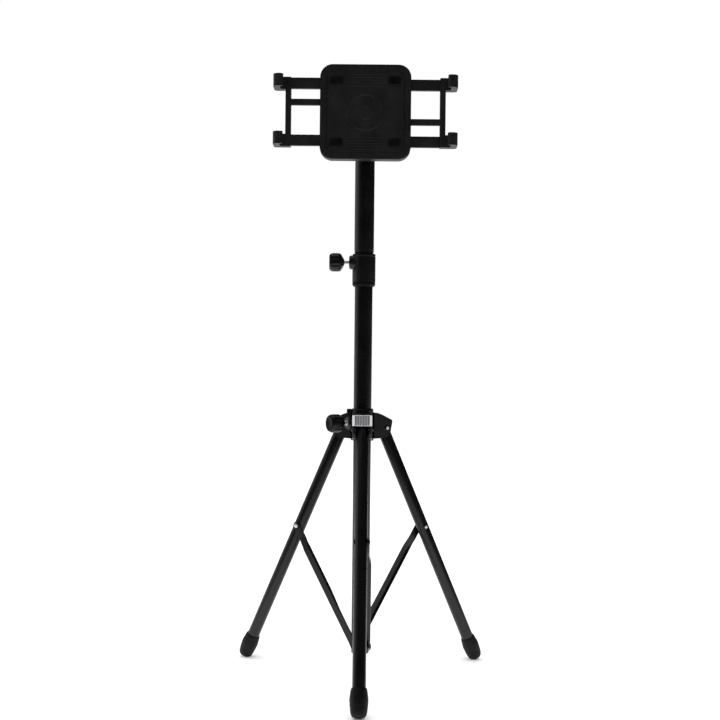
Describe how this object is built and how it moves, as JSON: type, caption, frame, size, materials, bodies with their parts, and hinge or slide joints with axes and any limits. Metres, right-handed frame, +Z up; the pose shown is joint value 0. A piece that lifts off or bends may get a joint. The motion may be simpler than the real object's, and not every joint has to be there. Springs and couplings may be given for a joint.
{
  "type": "tablet floor stand",
  "caption": "Black adjustable tablet floor stand with a folding tripod base, telescopic mast, clamp knobs and a sliding four-claw tablet holder.",
  "frame": {"origin": "on the floor, on the column's axis", "axes": "+Z up along the column, -Y towards the viewer, the side the holder and the front leg face, +X to the viewer's right"},
  "size_m": [0.2892, 0.2528, 0.6807],
  "materials": {
    "black_paint": "satin",
    "black_plastic": "satin",
    "rubber": "matte",
    "bright_steel": "satin",
    "brass": "satin",
    "pale_plastic": "satin"
  },
  "bodies": {
    "column_body": {"column_tube": "black_paint", "column_plug": "black_plastic", "strut_rivets_low": "black_paint", "collar": "black_plastic", "collar_nut": "brass"},
    "collar_knob_body": {"collar_knob": "black_plastic", "collar_knob_screw": "bright_steel"},
    "hub_body_group": {"hub_body": "black_plastic", "hub_bush": "black_plastic", "hub_nut": "brass", "hub_plate": "bright_steel", "leg_rivets": "bright_steel"},
    "hub_knob_body": {"hub_knob": "black_plastic", "hub_knob_screw": "bright_steel"},
    "mast_slider_body": {"mast_bush": "pale_plastic"},
    "mast_body": {"mast_tube": "black_paint", "mast_end_plug": "black_plastic", "mast_ring": "bright_steel", "socket": "black_plastic", "socket_screw": "black_paint", "tilt_fork": "black_plastic", "tilt_bolt": "bright_steel"},
    "tilt_knob_body": {"tilt_knob": "black_plastic"},
    "tilt_arm_body": {"tilt_arm": "black_plastic", "swivel_washer": "pale_plastic", "swivel_retainer": "bright_steel", "swivel_screw": "bright_steel"},
    "holder_body": {"case_rear": "black_plastic", "case_front": "black_plastic", "case_screws": "bright_steel", "rest_pads": "rubber", "pinion_axle": "bright_steel", "lock_insert": "brass"},
    "pinion_body": {"pinion": "pale_plastic"},
    "jaw_left_body": {"jaw_left": "black_plastic", "claw_pads_left": "rubber"},
    "jaw_right_body": {"jaw_right": "black_plastic", "claw_pads_right": "rubber"},
    "lock_knob_body": {"lock_knob": "black_plastic", "lock_screw": "bright_steel"},
    "leg_front_body": {"leg_front": "black_paint", "leg_plug_front": "black_plastic", "foot_front": "rubber", "strut_rivet_front": "bright_steel"},
    "strut_front_body": {"strut_front": "black_paint"},
    "leg_left_body": {"leg_left": "black_paint", "leg_plug_left": "black_plastic", "foot_left": "rubber", "strut_rivet_left": "bright_steel"},
    "strut_left_body": {"strut_left": "black_paint"},
    "leg_right_body": {"leg_right": "black_paint", "leg_plug_right": "black_plastic", "foot_right": "rubber", "strut_rivet_right": "bright_steel"},
    "strut_right_body": {"strut_right": "black_paint"}
  },
  "joints": [
    {"name": "fold_strut_front", "type": "hinge", "parent": "column_body", "child": "strut_front_body", "pos_m": [0, 0, 0.033], "axis": [-1, 0, 0], "range_deg": [0, 22.42]},
    {"name": "fold_leg_front", "type": "hinge", "parent": "strut_front_body", "child": "leg_front_body", "pos_m": [0, -0.08204, 0.16371], "axis": [1, 0, 0], "range_deg": [0, 48.17]},
    {"name": "fold_hub", "type": "hinge", "parent": "leg_front_body", "child": "hub_body_group", "pos_m": [0, -0.0262, 0.28], "axis": [-1, 0, 0], "range_deg": [0, 25.75]},
    {"name": "fold_strut_left", "type": "hinge", "parent": "column_body", "child": "strut_left_body", "pos_m": [0, 0, 0.033], "axis": [0.5, 0.866, 0], "range_deg": [0, 22.47]},
    {"name": "fold_leg_left", "type": "hinge", "parent": "strut_left_body", "child": "leg_left_body", "pos_m": [-0.07105, 0.04102, 0.16371], "axis": [-0.5, -0.866, 0], "range_deg": [0, 48.17]},
    {"name": "fold_strut_right", "type": "hinge", "parent": "column_body", "child": "strut_right_body", "pos_m": [0, 0, 0.033], "axis": [0.5, -0.866, 0], "range_deg": [0, 22.47]},
    {"name": "fold_leg_right", "type": "hinge", "parent": "strut_right_body", "child": "leg_right_body", "pos_m": [0.07105, 0.04102, 0.16371], "axis": [-0.5, 0.866, 0], "range_deg": [0, 48.17]},
    {"name": "hub_knob_turn", "type": "hinge", "parent": "hub_body_group", "child": "hub_knob_body", "pos_m": [0, 0, 0.2855], "axis": [-0.866, -0.5, 0], "range_deg": [0, 360]},
    {"name": "collar_knob_turn", "type": "hinge", "parent": "column_body", "child": "collar_knob_body", "pos_m": [0, 0, 0.4666], "axis": [-1, 0, 0], "range_deg": [0, 360]},
    {"name": "mast_slide", "type": "slide", "parent": "column_body", "child": "mast_slider_body", "axis": [0, 0, 1], "range_m": [0, 0.33]},
    {"name": "mast_turn", "type": "hinge", "parent": "mast_slider_body", "child": "mast_body", "pos_m": [0, 0, 0.07], "axis": [0, 0, 1], "continuous": true},
    {"name": "tilt", "type": "hinge", "parent": "mast_body", "child": "tilt_arm_body", "pos_m": [0, 0, 0.6287], "axis": [-1, 0, 0], "range_deg": [-5, 75]},
    {"name": "tilt_knob_turn", "type": "hinge", "parent": "mast_body", "child": "tilt_knob_body", "pos_m": [0, 0, 0.6287], "axis": [1, 0, 0], "range_deg": [0, 360]},
    {"name": "holder_swivel", "type": "hinge", "parent": "tilt_arm_body", "child": "holder_body", "pos_m": [0, -0.03, 0.6287], "axis": [0, -1, 0], "range_deg": [-90, 90]},
    {"name": "jaw_left_slide", "type": "slide", "parent": "holder_body", "child": "jaw_left_body", "axis": [-1, 0, 0], "range_m": [-0.03, 0.01]},
    {"name": "jaw_right_slide", "type": "slide", "parent": "holder_body", "child": "jaw_right_body", "axis": [1, 0, 0], "range_m": [-0.03, 0.01]},
    {"name": "pinion_turn", "type": "hinge", "parent": "holder_body", "child": "pinion_body", "pos_m": [0, -0.035, 0.6287], "axis": [0, -1, 0], "range_deg": [-215, 72]},
    {"name": "lock_knob_turn", "type": "hinge", "parent": "holder_body", "child": "lock_knob_body", "pos_m": [0, -0.02, 0.66], "axis": [0, 1, 0], "range_deg": [0, 360]}
  ],
  "couplings": [
    {"joint": "fold_leg_front", "follows": "fold_strut_front", "ratio": 2.1439},
    {"joint": "fold_hub", "follows": "fold_strut_front", "ratio": 1.1439},
    {"joint": "fold_strut_left", "follows": "fold_strut_front", "ratio": 1},
    {"joint": "fold_leg_left", "follows": "fold_strut_front", "ratio": 2.1439},
    {"joint": "fold_strut_right", "follows": "fold_strut_front", "ratio": 1},
    {"joint": "fold_leg_right", "follows": "fold_strut_front", "ratio": 2.1439},
    {"joint": "jaw_right_slide", "follows": "jaw_left_slide", "ratio": 1},
    {"joint": "pinion_turn", "follows": "jaw_left_slide", "rad_per_m": 125}
  ]
}
